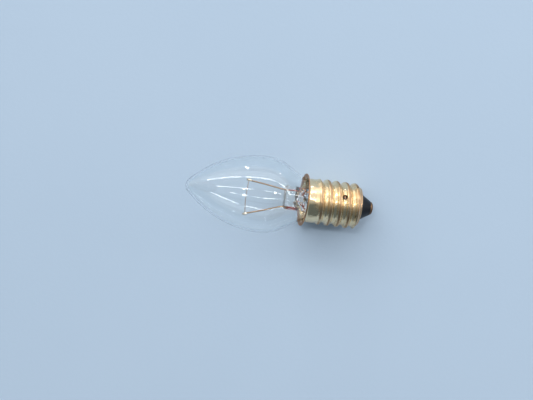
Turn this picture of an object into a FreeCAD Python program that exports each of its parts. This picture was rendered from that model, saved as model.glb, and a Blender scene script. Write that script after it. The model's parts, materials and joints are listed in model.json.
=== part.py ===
import FreeCAD, Part
import math
import os
import re
import Sketcher
from FreeCAD import Placement, Rotation, Vector

# A clear candle lamp with a knuckle-threaded screw cap, lying on its side.
# Every piece is drawn upright in the lamp's own frame, in millimetres: the axis is Z, the outer face of the
# centre contact is at height 0 and the glass tip is at the top. Azimuth 0 is +X, the side that comes to lie
# uppermost. One placement, worked out at the end, lays them all down on the glass belly and a thread crest.

doc = FreeCAD.newDocument("CandleBulb")

SIZES = {
    # Glass bulb: a small tip arc, a long body arc, a shoulder arc, a cone and an arc into the neck
    "overall_length": 57.0,
    "glass_radius": 11.5,
    "tip_radius": 2.5,
    "shoulder_arc": 12.0,
    "shoulder_angle": 31.0,
    "neck_arc": 11.0,
    "neck_radius": 5.6,
    "neck_top": 17.3,
    "neck_foot": 12.6,
    "glass_wall": 0.6,
    # Stem: the flared tube and the press at its top
    "tube_radius": 3.6,
    "tube_wall": 0.45,
    "press_foot": 23.9,
    "press_height": 3.2,
    "press_root": 2.7,
    "press_slope": 2.4,
    "press_thickness": 3.0,
    "blow_hole_radius": 0.7,
    "blow_hole_depth": 1.2,
    # Exhaust tube
    "exhaust_radius": 1.4,
    "exhaust_wall": 0.5,
    "exhaust_foot": 7.2,
    # Wires: the side circuit is on +Y, the centre circuit on -Y
    "lead_radius": 0.22,
    "side_offset": 2.3,
    "centre_offset": 2.85,
    "side_splay_angle": 7.6,
    "centre_splay_angle": 18.0,
    "seal_cover": 0.9,
    "seal_lap": 1.1,
    "lead_rise": 0.6,
    "lead_bend": 0.8,
    "hook_return": 0.55,
    "hook_clearance": 0.05,
    "side_turn": 11.2,
    "side_reach": 4.4,
    # Filament coil, as the rod that its turns fill
    "coil_radius": 0.13,
    "filament_stand": 11.3,
    "filament_rise": 0.35,
    "filament_tail": 0.6,
    # Screw shell, one sheet thick all over
    "shell_wall": 0.25,
    "crest_radius": 6.9,
    "crest_flat": 0.02,
    "thread_pitch": 2.822,
    "thread_depth": 0.8,
    "first_crest": 5.6,
    "shell_foot": 4.3,
    "foot_radius": 5.9,
    "foot_round": 0.5,
    "foot_slope_top": 5.4,
    "lip_radius": 4.4,
    "crest_fade_foot": 17.1,
    "groove_fade_foot": 15.2,
    "groove_fade_top": 17.6,
    "skirt_radius": 6.55,
    "skirt_foot": 18.0,
    "skirt_seam": 18.5,
    "flange_radius": 7.85,
    "flange_arc": 0.8,
    "flange_top": 21.4,
    # Hole for the side wire, in a thread valley
    "hole_azimuth": 22.0,
    "hole_radius": 0.62,
    "bead_radius": 0.8,
    "bead_depth": 0.1,
    # Insulator and centre contact
    "insulator_nose": 2.25,
    "insulator_waist": 4.1,
    "insulator_bore": 0.45,
    "insulator_lap": 0.95,
    "contact_radius": 2.1,
    "contact_height": 0.9,
    "contact_flat": 1.0,
    "contact_wall": 0.3,
    "contact_hole": 0.45,
    "solder_cover": 0.15,
    "solder_height": 0.6,
    # Cement and the play between pieces that pass each other
    "cement_foot": 18.05,
    "cement_top": 20.2,
    "clearance": 0.05,
}

sheet = doc.addObject("Spreadsheet::Sheet", "Sizes")
for row, (name, size) in enumerate(SIZES.items(), 1):
    sheet.set(f"A{row}", name)
    sheet.set(f"B{row}", str(size))
    sheet.setAlias(f"B{row}", name)
doc.recompute()

DERIVED = {
    # The cone runs from the neck's arc up to the shoulder's arc, which ends at the belly, the widest circle
    "cone_radius": "glass_radius - shoulder_arc * (1 - cos(shoulder_angle))",
    "cone_top": "neck_top + neck_arc * tan(shoulder_angle / 2)"
    " + (cone_radius - neck_radius) / tan(shoulder_angle)",
    "belly_height": "cone_top + shoulder_arc * sin(shoulder_angle)",
    # The body arc is the one that touches both the belly and the tip arc
    "tip_centre": "overall_length - tip_radius",
    "body_arc": "((tip_centre - belly_height)^2 + glass_radius^2 - tip_radius^2)"
    " / (2 * (glass_radius - tip_radius))",
    # Crest and root arcs of the same radius that touch halfway down the flank
    "flank_arc": "((thread_pitch / 2)^2 + thread_depth^2) / (4 * thread_depth)",
    "land_radius": "crest_radius - crest_flat",
    "root_radius": "crest_radius - thread_depth",
    "groove_start": "first_crest - 1.5 * thread_pitch",
    "hole_height": "first_crest + thread_pitch * (1.5 + hole_azimuth / 360)",
    "flange_foot": "flange_top - shell_wall - flange_arc",
    # Stem, the seals inside its press and the height at which the leads hold the filament above it
    "press_top": "press_foot + press_height",
    "hollow_top": "press_foot - press_root",
    "filament_height": "press_top + filament_stand",
    "seal_top": "press_top - seal_cover",
    "seal_foot": "press_foot - seal_lap",
    "tube_bore": "tube_radius - tube_wall",
    "flare_edge": "neck_radius - glass_wall",
    "flare_arc": "flare_edge - tube_radius",
    "exhaust_bore": "exhaust_radius - exhaust_wall",
    "blow_hole_height": "hollow_top + blow_hole_depth",
    "press_cut": "tube_radius - press_thickness / 2",
    # Insulator and contact
    "lip_top": "shell_foot + shell_wall",
    "insulator_rim": "foot_radius - shell_wall - foot_round",
    "insulator_top": "lip_top + insulator_lap",
    "contact_arc": "((contact_radius - contact_flat)^2 + contact_height^2) / (2 * contact_height)",
    "hook_radius": "lead_radius + coil_radius + hook_clearance",
}
derived = doc.addObject("App::VarSet", "Derived")


def full(formula):
    """A formula written with bare size names, as the document reads it."""

    def owner(match):
        word = match.group()
        if word in SIZES:
            return "Sizes." + word
        return "Derived." + word if word in DERIVED else word

    return re.sub(r"[a-z_]+", owner, formula)


def value(formula):
    """The number that a formula gives, for geometry that is placed by code."""
    return float(derived.evalExpression(full(formula)))


for name, formula in DERIVED.items():
    derived.addProperty("App::PropertyFloat", name)
    derived.setExpression(name, full(formula))
doc.recompute()


def new_body(name):
    body = doc.addObject("PartDesign::Body", name)
    body.Label = name
    return body


def origin_part(body, role):
    return next(item for item in body.Origin.OriginFeatures if item.Role == role)


def new_sketch(body, name, plane):
    sketch = body.newObject("Sketcher::SketchObject", name)
    sketch.AttachmentSupport = [(origin_part(body, plane), "")]
    sketch.MapMode = "FlatFace"
    return sketch


def line(x, y):
    return {"end": (x, y)}


def arc(x, y, radius, turn):
    """An arc of less than half a circle to (x, y), which bends to the left or right on its way."""
    return {"end": (x, y), "radius": radius, "turn": turn}


def pin_point(sketch, edge, place, corner):
    """Holds one end of an edge at a corner whose coordinates are formulas."""
    for axis, kind, formula in ((-2, "DistanceX", corner[0]), (-1, "DistanceY", corner[1])):
        if formula == "0":
            sketch.addConstraint(Sketcher.Constraint("PointOnObject", edge, place, axis))
            continue
        index = sketch.addConstraint(Sketcher.Constraint(kind, -1, 1, edge, place, value(formula)))
        sketch.setExpression(f"Constraints[{index}]", full(formula))


def outline(body, name, plane, start, *pieces):
    """A closed sketch through corners given as formulas. A line closes it if it ends short of its start."""
    sketch = new_sketch(body, name, plane)
    if pieces[-1]["end"] != start:
        pieces = (*pieces, line(*start))
    joints = []
    corner = start
    for piece in pieces:
        here = Vector(value(corner[0]), value(corner[1]), 0)
        there = Vector(value(piece["end"][0]), value(piece["end"][1]), 0)
        if "radius" in piece:
            radius = value(piece["radius"])
            chord = there - here
            left = Vector(-chord.y, chord.x, 0).normalize()
            reach = math.sqrt(max(radius**2 - (chord.Length / 2) ** 2, 0))
            bends_left = piece["turn"] == "left"
            centre = (here + there) / 2 + left * (reach if bends_left else -reach)
            first, last = (here, there) if bends_left else (there, here)
            angles = [math.atan2(p.y - centre.y, p.x - centre.x) for p in (first, last)]
            circle = Part.Circle(centre, Vector(0, 0, 1), radius)
            edge = sketch.addGeometry(Part.ArcOfCircle(circle, *angles))
            index = sketch.addConstraint(Sketcher.Constraint("Radius", edge, radius))
            sketch.setExpression(f"Constraints[{index}]", full(piece["radius"]))
            joints.append((edge, 1, 2) if bends_left else (edge, 2, 1))
        else:
            edge = sketch.addGeometry(Part.LineSegment(here, there))
            joints.append((edge, 1, 2))
        corner = piece["end"]
    for index, piece in enumerate(pieces):
        edge, _, end = joints[index]
        follower, begin, _ = joints[(index + 1) % len(joints)]
        sketch.addConstraint(Sketcher.Constraint("Coincident", edge, end, follower, begin))
        pin_point(sketch, follower, begin, piece["end"])
    return sketch


def turned(body, kind, name, start, *pieces):
    """A Revolution or Groove about the lamp's axis of an outline in radius and height."""
    sketch = outline(body, name + "_outline", "XZ_Plane", start, *pieces)
    feature = body.newObject("PartDesign::" + kind, name)
    feature.Profile = sketch
    feature.ReferenceAxis = (origin_part(body, "Z_Axis"), [""])
    feature.Angle = 360
    doc.recompute()
    return feature


def round_hole(body, name, plane, centres, radius):
    """A pocket of round holes that runs from the plane along its normal."""
    sketch = new_sketch(body, name + "_circle", plane)
    for x, y in centres:
        circle = Part.Circle(Vector(value(x), value(y), 0), Vector(0, 0, 1), value(radius))
        edge = sketch.addGeometry(circle)
        pin_point(sketch, edge, 3, (x, y))
        index = sketch.addConstraint(Sketcher.Constraint("Radius", edge, value(radius)))
        sketch.setExpression(f"Constraints[{index}]", full(radius))
    pocket = body.newObject("PartDesign::Pocket", name)
    pocket.Profile = sketch
    pocket.Reversed = True
    return pocket


# Glass envelope


def glass_side(inset):
    """The bulb's side from its neck to its tip, inset from the outer surface by a wall or by nothing."""
    lean = f"({inset} + neck_arc)"
    swell = f"(shoulder_arc - {inset})"
    share = f"(tip_radius - {inset}) / (body_arc - tip_radius)"
    return (
        line(f"neck_radius - {inset}", "neck_foot"),
        line(f"neck_radius - {inset}", "neck_top"),
        arc(
            f"neck_radius + neck_arc - {lean} * cos(shoulder_angle)",
            f"neck_top + {lean} * sin(shoulder_angle)",
            lean,
            "right",
        ),
        line(
            f"glass_radius - shoulder_arc + {swell} * cos(shoulder_angle)",
            f"belly_height - {swell} * sin(shoulder_angle)",
        ),
        arc(f"glass_radius - {inset}", "belly_height", swell, "left"),
        arc(
            f"(body_arc - glass_radius) * {share}",
            f"tip_centre + (tip_centre - belly_height) * {share}",
            f"body_arc - {inset}",
            "left",
        ),
        arc("0", f"overall_length - {inset}", f"tip_radius - {inset}", "left"),
    )


def glass_envelope():
    body = new_body("glass_envelope")
    turned(body, "Revolution", "bulb_outside", ("0", "neck_foot"), *glass_side("0"))
    turned(body, "Groove", "bulb_inside", ("0", "neck_foot"), *glass_side("glass_wall"))
    return body


# Stem: flare, tube and press


def stem_flare():
    body = new_body("stem_flare")
    turned(
        body,
        "Revolution",
        "flared_tube",
        ("flare_edge", "neck_foot - tube_wall"),
        line("neck_radius", "neck_foot - tube_wall"),
        line("neck_radius", "neck_foot"),
        line("flare_edge", "neck_foot"),
        arc("tube_radius", "neck_foot + flare_arc", "flare_arc", "right"),
        line("tube_radius", "press_top"),
        line("0", "press_top"),
        line("0", "blow_hole_height"),
        line("exhaust_bore", "blow_hole_height"),
        line("exhaust_bore", "hollow_top"),
        line("tube_bore", "hollow_top"),
        line("tube_bore", "neck_foot + flare_arc"),
        arc("flare_edge", "neck_foot - tube_wall", "flare_arc + tube_wall", "left"),
    )

    # Each flat of the press is the tube cut back to the press's thickness, with a slope below
    side = outline(
        body,
        "press_side",
        "XZ_Plane",
        ("press_thickness / 2", "press_foot"),
        line("press_thickness / 2 + 2 * press_cut", "press_foot - 2 * press_slope"),
        line("press_thickness / 2 + 2 * press_cut", "press_top + press_cut"),
        line("press_thickness / 2", "press_top + press_cut"),
    )
    flat = body.newObject("PartDesign::Pocket", "press_flat")
    flat.Profile = side
    flat.SideType = "Symmetric"
    flat.setExpression("Length", full("4 * tube_radius"))
    both = body.newObject("PartDesign::PolarPattern", "press_flats")
    both.Originals = [flat]
    both.Axis = (origin_part(body, "Z_Axis"), [""])
    both.Angle = 360
    both.Occurrences = 2
    body.Tip = both
    doc.recompute()

    # The blow-hole runs from the exhaust bore out through the press's upper flat
    mouth = round_hole(body, "blow_hole", "YZ_Plane", [("0", "blow_hole_height")], "blow_hole_radius")
    mouth.setExpression("Length", full("2 * tube_radius"))
    wires = [("0", "side_offset"), ("0", "-centre_offset")]
    bores = round_hole(body, "wire_bore", "XY_Plane", wires, "lead_radius")
    bores.setExpression("Length", full("overall_length"))
    doc.recompute()
    return body


def exhaust_tube():
    body = new_body("exhaust_tube")
    turned(
        body,
        "Revolution",
        "sealed_tube",
        ("0", "exhaust_foot"),
        arc("exhaust_radius", "exhaust_foot + exhaust_radius", "exhaust_radius", "left"),
        line("exhaust_radius", "hollow_top"),
        line("exhaust_bore", "hollow_top"),
        line("exhaust_bore", "exhaust_foot + exhaust_radius"),
        arc("0", "exhaust_foot + exhaust_wall", "exhaust_bore", "right"),
    )
    return body


# Wires


def bent_wire(name, points, bend):
    """A round wire of the lead's thickness, its straight runs joined by tangent arcs."""
    runs = []
    begin = points[0]
    for before, corner, after in zip(points, points[1:], points[2:]):
        into = (corner - before).normalize()
        out = (after - corner).normalize()
        turn = into.getAngle(out)
        cut = bend * math.tan(turn / 2)
        enter = corner - into * cut
        leave = corner + out * cut
        bisector = (out - into).normalize()
        centre = corner + bisector * (bend / math.cos(turn / 2))
        if (enter - begin).Length > 1e-6:
            runs.append(Part.LineSegment(begin, enter).toShape())
        runs.append(Part.Arc(enter, centre - bisector * bend, leave).toShape())
        begin = leave
    runs.append(Part.LineSegment(begin, points[-1]).toShape())
    heading = points[1] - points[0]
    section = Part.Wire(Part.Circle(points[0], heading, value("lead_radius")).toShape())
    wire = doc.addObject("Part::Feature", name)
    wire.Label = name
    wire.Shape = Part.Wire(runs).makePipe(Part.Face(section))
    return wire


def lead_grip(offset, splay):
    """Where an inner lead bends above the press, the way it then runs, and the filament's place on it."""
    bend = Vector(0, offset, value("press_top + lead_rise"))
    lean = math.radians(splay)
    way = Vector(0, math.copysign(math.sin(lean), offset), math.cos(lean))
    grip = bend + way * ((value("filament_height") - bend.z) / way.z)
    return bend, way, grip


def inner_lead(name, offset, splay):
    """A lead from its weld in the press to the filament, with its end folded over the filament."""
    bend, way, grip = lead_grip(offset, splay)
    fold = value("hook_radius")
    top = grip + way * fold
    across = Vector(2 * fold, 0, 0)
    foot = Vector(0, offset, value("seal_top"))
    points = [foot, bend, top, top + across, top + across - way * (fold + value("hook_return"))]
    return bent_wire(name, points, fold)


def dumet_seal(name, offset):
    """The sealing wire between the inner and the outer lead."""
    seal = doc.addObject("Part::Cylinder", name)
    seal.Label = name
    seal.setExpression("Radius", full("lead_radius"))
    seal.setExpression("Height", full("seal_top - seal_foot"))
    seal.Placement.Base = Vector(0, offset, value("seal_foot"))
    return seal


def outer_lead_side():
    """From the side seal down the tube, then out through the hole in the shell."""
    offset = value("side_offset")
    azimuth = math.radians(value("hole_azimuth"))
    out = Vector(math.cos(azimuth), math.sin(azimuth), 0)
    level = Vector(0, 0, value("hole_height"))
    points = [
        Vector(0, offset, value("seal_foot")),
        Vector(0, offset, value("side_turn")),
        level + out * value("side_reach"),
        level + out * value("root_radius + lead_radius"),
    ]
    return bent_wire("outer_lead_side", points, value("lead_bend"))


def outer_lead_centre():
    """From the centre seal down the tube, under the exhaust tube's end and on through the insulator."""
    offset = -value("centre_offset")
    turn = value("(insulator_top + exhaust_foot) / 2")
    points = [
        Vector(0, offset, value("seal_foot")),
        Vector(0, offset, turn),
        Vector(0, 0, turn),
        Vector(0, 0, value("solder_cover")),
    ]
    return bent_wire("outer_lead_centre", points, value("lead_bend"))


def filament():
    """The coil's rod: a shallow arc through both folds, with a short tail past each."""
    grips = [lead_grip(value("side_offset"), value("side_splay_angle"))[2]]
    grips.append(lead_grip(-value("centre_offset"), value("centre_splay_angle"))[2])
    aside = Vector(value("hook_radius"), 0, 0)
    right, left = (grip + aside for grip in grips)
    crown = (right + left) / 2 + Vector(0, 0, value("filament_rise"))
    through = Part.Arc(right, crown, left).toShape().Curve
    centre = through.Center
    radius = through.Radius
    tail = value("filament_tail") / radius

    def on_arc(angle):
        return centre + Vector(0, radius * math.cos(angle), radius * math.sin(angle))

    first = math.atan2(right.z - centre.z, right.y - centre.y) - tail
    last = math.atan2(left.z - centre.z, left.y - centre.y) + tail
    spine = Part.Arc(on_arc(first), crown, on_arc(last)).toShape()
    heading = Vector(0, -math.sin(first), math.cos(first))
    section = Part.Wire(Part.Circle(on_arc(first), heading, value("coil_radius")).toShape())
    rod = doc.addObject("Part::Feature", "filament")
    rod.Label = "filament"
    rod.Shape = Part.Wire(spine).makePipe(Part.Face(section))
    return rod


# Screw shell


def threaded_form(name, inset, foot, beyond):
    """The shell's form below its flange: its outside, or the space within when it is inset by the wall.

    foot is the outline's start below the first round, beyond is how far it runs past the seam with the skirt.
    """
    body = new_body(name)
    top = f"skirt_seam + {beyond}"
    turned(
        body,
        "Revolution",
        name + "_blank",
        *foot,
        line("foot_radius - foot_round", f"shell_foot + {inset}"),
        arc(f"foot_radius - {inset}", "shell_foot + foot_round", f"foot_round - {inset}", "left"),
        line(f"land_radius - {inset}", "foot_slope_top"),
        line(f"land_radius - {inset}", "crest_fade_foot"),
        line(f"skirt_radius - {inset}", "skirt_foot"),
        line(f"skirt_radius - {inset}", top),
        line("0", top),
    )

    # One turn's groove: the crest arc of each neighbour and the root arc between them
    crest = f"(flank_arc - {inset})"
    half_land = f"sqrt({crest}^2 - ({crest} - crest_flat)^2)"
    beside = f"(thread_pitch / 2 - {half_land})"
    drop = f"thread_pitch / 2 * {crest} / (2 * flank_arc)"
    flank = f"crest_radius - flank_arc + (2 * flank_arc - thread_depth) * {crest} / (2 * flank_arc)"
    outer = "crest_radius + thread_depth"
    root = f"flank_arc + {inset}"
    low = "groove_start - thread_pitch / 2"
    high = "groove_start + thread_pitch / 2"
    profile = outline(
        body,
        name + "_groove_outline",
        "XZ_Plane",
        (outer, f"groove_start - {beside}"),
        line(outer, f"groove_start + {beside}"),
        line(f"land_radius - {inset}", f"groove_start + {beside}"),
        arc(flank, f"{high} - {drop}", crest, "right"),
        arc(flank, f"{low} + {drop}", root, "left"),
        arc(f"land_radius - {inset}", f"groove_start - {beside}", crest, "right"),
    )
    groove = body.newObject("PartDesign::SubtractiveHelix", name + "_groove")
    groove.Profile = profile
    groove.ReferenceAxis = (origin_part(body, "Z_Axis"), [""])
    groove.Mode = "pitch-height-angle"
    groove.setExpression("Pitch", full("thread_pitch"))
    groove.setExpression("Height", full("skirt_foot + thread_pitch / 2 - groove_start"))
    doc.recompute()

    # The groove runs out up a cone into the skirt
    turned(
        body,
        "Revolution",
        name + "_run_out",
        ("0", "groove_fade_foot"),
        line(f"root_radius - shell_wall - {inset}", "groove_fade_foot"),
        line(f"skirt_radius - {inset}", "groove_fade_top"),
        line(f"skirt_radius - {inset}", top),
        line("0", top),
    )
    return body


def cap_shell():
    outside = threaded_form("cap_shell", "0", [("0", "shell_foot")], "0")
    below = "shell_foot - shell_wall"
    mouth = [("0", below), line("lip_radius", below), line("lip_radius", "lip_top")]
    within = threaded_form("cap_space", "shell_wall", mouth, "shell_wall")
    hollow = outside.newObject("PartDesign::Boolean", "hollow")
    hollow.Type = "Cut"
    hollow.setObjects([within])
    doc.recompute()
    turned(
        outside,
        "Revolution",
        "flange",
        ("skirt_radius - shell_wall", "skirt_seam"),
        line("skirt_radius", "skirt_seam"),
        line("skirt_radius", "flange_foot"),
        arc("skirt_radius + flange_arc", "flange_foot + flange_arc", "flange_arc", "right"),
        line("flange_radius", "flange_foot + flange_arc"),
        line("flange_radius", "flange_top"),
        line("skirt_radius + flange_arc", "flange_top"),
        arc("skirt_radius - shell_wall", "flange_foot", "flange_arc + shell_wall", "left"),
    )
    hole = round_hole(outside, "wire_hole", "YZ_Plane", [("0", "hole_height")], "hole_radius")
    hole.Profile[0].AttachmentOffset = Placement(Vector(), Rotation(Vector(0, 1, 0), value("hole_azimuth")))
    hole.Profile[0].setExpression("AttachmentOffset.Rotation.Angle", full("hole_azimuth"))
    hole.setExpression("Length", full("2 * crest_radius"))
    doc.recompute()
    return outside


# Insulator, contact, solder and cement


def cap_insulator():
    """Sits on the shell's curled lip and reaches down through it to the contact."""
    body = new_body("cap_insulator")
    neck = "lip_radius - clearance"
    turned(
        body,
        "Revolution",
        "cone",
        ("insulator_bore", "contact_height"),
        line("insulator_nose", "contact_height"),
        line("insulator_waist", "shell_foot"),
        line(neck, "shell_foot"),
        line(neck, "lip_top"),
        line("insulator_rim", "lip_top"),
        line("insulator_rim", "insulator_top"),
        line("insulator_bore", "insulator_top"),
    )
    return body


def centre_contact():
    body = new_body("centre_contact")
    inner = "contact_flat + sqrt((contact_arc - contact_wall)^2 - (contact_height - contact_arc)^2)"
    turned(
        body,
        "Revolution",
        "dome",
        ("contact_hole", "0"),
        line("contact_flat", "0"),
        arc("contact_radius", "contact_height", "contact_arc", "left"),
        line(inner, "contact_height"),
        arc("contact_flat", "contact_wall", "contact_arc - contact_wall", "right"),
        line("contact_hole", "contact_wall"),
    )
    return body


def centre_solder():
    """Fills the contact's hole around the end of the wire."""
    body = new_body("centre_solder")
    turned(
        body,
        "Revolution",
        "plug",
        ("0", "0"),
        line("contact_hole", "0"),
        line("contact_hole", "solder_height"),
        line("lead_radius", "solder_height"),
        line("lead_radius", "solder_cover"),
        line("0", "solder_cover"),
    )
    return body


def basing_cement():
    """Fills the skirt around the bulb's neck."""
    body = new_body("basing_cement")
    arc_radius = "(neck_arc - clearance)"
    outer = "skirt_radius - shell_wall - clearance"

    def beside_glass(height):
        return f"neck_radius + neck_arc - sqrt({arc_radius}^2 - ({height} - neck_top)^2)"

    turned(
        body,
        "Revolution",
        "ring",
        (beside_glass("cement_foot"), "cement_foot"),
        line(outer, "cement_foot"),
        line(outer, "cement_top"),
        line(beside_glass("cement_top"), "cement_top"),
        arc(beside_glass("cement_foot"), "cement_foot", arc_radius, "left"),
    )
    return body


def side_solder(shell, wire):
    """A bead that fills the hole in the shell around the wire."""
    azimuth = math.radians(value("hole_azimuth"))
    reach = value("root_radius - bead_depth")
    bead = doc.addObject("Part::Sphere", "bead")
    bead.setExpression("Radius", full("bead_radius"))
    height = value("hole_height")
    bead.Placement.Base = Vector(reach * math.cos(azimuth), reach * math.sin(azimuth), height)
    seated = doc.addObject("Part::Cut", "bead_seated")
    seated.Base = bead
    seated.Tool = shell
    threaded = doc.addObject("Part::Cut", "side_solder")
    threaded.Label = "side_solder"
    threaded.Base = seated
    threaded.Tool = wire
    doc.recompute()
    return bead, threaded


# Resting place


def resting_place():
    """Lays the lamp on its belly and on the crest nearest the contact end on the underside.

    The floor touches that crest's land at its lower edge and the shoulder arc of the glass.
    """
    arc_centre = Vector(value("glass_radius - shoulder_arc"), 0, value("belly_height"))
    half_land = value("sqrt(flank_arc^2 - (flank_arc - crest_flat)^2)")
    crest = Vector(value("land_radius"), 0, value("first_crest + thread_pitch / 2") - half_land)
    reach = arc_centre - crest
    tilt = math.atan2(reach.x, reach.z) + math.asin(value("shoulder_arc") / reach.Length)
    lift = crest.x * math.cos(tilt) - crest.z * math.sin(tilt)
    tip = -value("tip_centre") * math.cos(tilt) - value("tip_radius")
    end = value("contact_flat") * math.sin(tilt) + value("contact_arc") * (1 - math.cos(tilt))
    turn = Rotation(Vector(0, 1, 0), math.degrees(tilt) - 90)
    return Placement(Vector(-(tip + end) / 2, 0, lift), turn)


def build():
    side = value("side_offset")
    centre = -value("centre_offset")
    shell = cap_shell()
    side_wire = outer_lead_side()
    bead, solder = side_solder(shell, side_wire)
    pieces = [
        glass_envelope(),
        stem_flare(),
        exhaust_tube(),
        inner_lead("inner_lead_side", side, value("side_splay_angle")),
        inner_lead("inner_lead_centre", centre, value("centre_splay_angle")),
        dumet_seal("dumet_seal_side", side),
        dumet_seal("dumet_seal_centre", centre),
        side_wire,
        outer_lead_centre(),
        filament(),
        shell,
        cap_insulator(),
        centre_contact(),
        centre_solder(),
        basing_cement(),
    ]
    rest = resting_place()
    for item in pieces + [bead]:
        item.Placement = rest.multiply(item.Placement)
    doc.recompute()
    return pieces + [solder]


sub_parts = build()
for item in doc.Objects:
    if "Invalid" in item.State or "Error" in item.State:
        raise RuntimeError(f"{item.Label} did not compute: {item.State}")
for item in sub_parts:
    if item.Shape.isNull() or not item.Shape.isValid():
        raise RuntimeError(f"{item.Label} has no valid shape")

os.makedirs("parts", exist_ok=True)
for item in sub_parts:
    item.Shape.exportStep(f"parts/{item.Label}.step")
    print(item.Label, len(item.Shape.Solids), round(item.Shape.Volume, 3))
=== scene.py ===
# %% [markdown]
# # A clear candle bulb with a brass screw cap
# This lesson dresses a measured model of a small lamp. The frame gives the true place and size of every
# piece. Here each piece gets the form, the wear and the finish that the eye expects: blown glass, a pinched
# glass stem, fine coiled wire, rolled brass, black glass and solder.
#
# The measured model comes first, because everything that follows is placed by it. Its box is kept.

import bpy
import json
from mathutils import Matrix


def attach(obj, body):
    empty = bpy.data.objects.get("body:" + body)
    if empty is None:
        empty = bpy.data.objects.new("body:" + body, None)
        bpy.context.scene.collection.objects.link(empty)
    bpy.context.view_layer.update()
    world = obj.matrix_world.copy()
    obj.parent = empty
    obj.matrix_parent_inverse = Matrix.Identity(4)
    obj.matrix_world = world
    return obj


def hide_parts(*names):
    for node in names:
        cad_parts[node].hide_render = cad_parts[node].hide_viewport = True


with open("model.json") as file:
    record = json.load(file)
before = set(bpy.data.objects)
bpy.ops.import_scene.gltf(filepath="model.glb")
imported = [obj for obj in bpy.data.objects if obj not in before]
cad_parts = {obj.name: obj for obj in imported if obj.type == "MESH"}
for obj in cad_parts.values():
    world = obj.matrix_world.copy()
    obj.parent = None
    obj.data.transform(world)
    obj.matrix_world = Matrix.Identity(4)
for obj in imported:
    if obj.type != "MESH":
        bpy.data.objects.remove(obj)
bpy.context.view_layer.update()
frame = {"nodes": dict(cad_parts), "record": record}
print("nodes:", len(frame["nodes"]))

# %% [markdown]
# ## The lamp's own upright frame
# The lamp lies on its side, tilted, and nothing in it is square to the floor. It is much easier to model it
# upright, with its axis on Z and its contact at height 0, and to lay each finished piece down afterwards.
# The record states where the contact's face is and which way it looks. That is all a matrix needs: its
# columns are the directions that the upright X, Y and Z axes take once the lamp lies down.

# %% The matrix that lays an upright piece down
import bpy
import json
import math
from mathutils import Matrix, Vector, noise

MM = 0.001
contact_face = next(m for m in frame["record"]["mounts"] if m["name"] == "centre_contact")
face = Vector(contact_face["pos_m"])
down = Vector(contact_face["axis"])
LIE_DOWN = Matrix(
    (
        (-down.z, 0, -down.x, face.x),
        (0, 1, 0, face.y),
        (down.x, 0, -down.z, face.z),
        (0, 0, 0, 1),
    )
)
STAND_UP = LIE_DOWN.inverted()
print("axis slopes by", round(math.degrees(math.asin(-down.z)), 2), "degrees")

# %% [markdown]
# ## Measuring upright
# A box taken along the floor would not follow the lamp, so here the vertices are first stood up, so that a
# node's lowest and highest corners are its foot, its top and its radius in the lamp's own frame.

# %% Measure a node upright
def upright_box(node):
    """The lowest and highest corner of a measured node in the lamp's upright frame, in metres."""
    corners = [STAND_UP @ vertex.co for vertex in frame["nodes"][node].data.vertices]
    low = Vector(min(corner[axis] for corner in corners) for axis in range(3))
    high = Vector(max(corner[axis] for corner in corners) for axis in range(3))
    return low, high


glass_low, glass_high = upright_box("glass_envelope")
stem_low, stem_high = upright_box("stem_flare")
shell_low, shell_high = upright_box("cap_shell")
insulator_low, insulator_high = upright_box("cap_insulator")
contact_high = upright_box("centre_contact")[1]
cement_low, cement_high = upright_box("basing_cement")
print("glass, mm:", [round(size / MM, 2) for size in glass_high - glass_low])
print("shell, mm:", [round(size / MM, 2) for size in shell_high - shell_low])

# %% [markdown]
# ## The camera
# The lamp was seen from straight above through a long lens, turned a little in the picture. A long lens far
# away keeps the cap's rings almost parallel, as a short lens near the lamp would not. The camera's field
# at the height of the lamp's axis sets the scale, and its turn about Z sets how the lamp lies in the picture.

# %% Set up the camera
field_width = 158.7 * MM
camera_reach = 450 * MM
axis_height = 11.5 * MM
picture_turn = math.radians(7.44)
camera_left = -3.9
camera_down = -1.53
bpy.ops.object.camera_add(
    location=(camera_left * MM, camera_down * MM, camera_reach + axis_height),
    rotation=(0, 0, picture_turn),
)
camera = bpy.context.object
camera.name = "photo_camera"
camera.data.lens = camera.data.sensor_width * camera_reach / field_width
camera.data.clip_start = 0.01
bpy.context.scene.camera = camera
print("lens, mm:", round(camera.data.lens, 1))

# %% [markdown]
# ## Node helpers
# The world and every finish below are small trees of nodes. One helper adds a node and another feeds its
# inputs by name, each with a number, a colour or another node's output. The rest are moves that come back in
# every finish: a cloud of noise, a stretched range, a blend, a sum and a bump. With them a material reads
# like a recipe.

# %% Helpers for node trees
def connect(tree, socket, given):
    """Links an input to another node's output, or gives it a number or a colour."""
    if isinstance(given, bpy.types.NodeSocket):
        tree.links.new(given, socket)
    else:
        socket.default_value = given


def feed(tree, node, **inputs):
    """Connects a node's inputs by name."""
    for key, given in inputs.items():
        connect(tree, node.inputs[key.replace("_", " ")], given)


def add_node(tree, kind, settings=None, **inputs):
    """A new node with its settings and inputs."""
    node = tree.nodes.new(kind)
    for key, setting in (settings or {}).items():
        setattr(node, key, setting)
    feed(tree, node, **inputs)
    return node


def new_finish(name):
    """A new material: returns it, its tree, its Principled shader and the place on the object."""
    finish = bpy.data.materials.new(name)
    finish.use_nodes = True
    tree = finish.node_tree
    place = add_node(tree, "ShaderNodeTexCoord").outputs["Object"]
    return finish, tree, tree.nodes["Principled BSDF"], place


def stored(tree, name):
    """A number that the mesh stores at each vertex."""
    return add_node(tree, "ShaderNodeAttribute", {"attribute_name": name}).outputs["Fac"]


def noise_field(tree, place, scale, detail=3.0, roughness=0.5):
    """Cloudy noise, with its scale in patches per metre."""
    return add_node(
        tree, "ShaderNodeTexNoise", Vector=place, Scale=scale, Detail=detail, Roughness=roughness
    ).outputs["Fac"]


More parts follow.
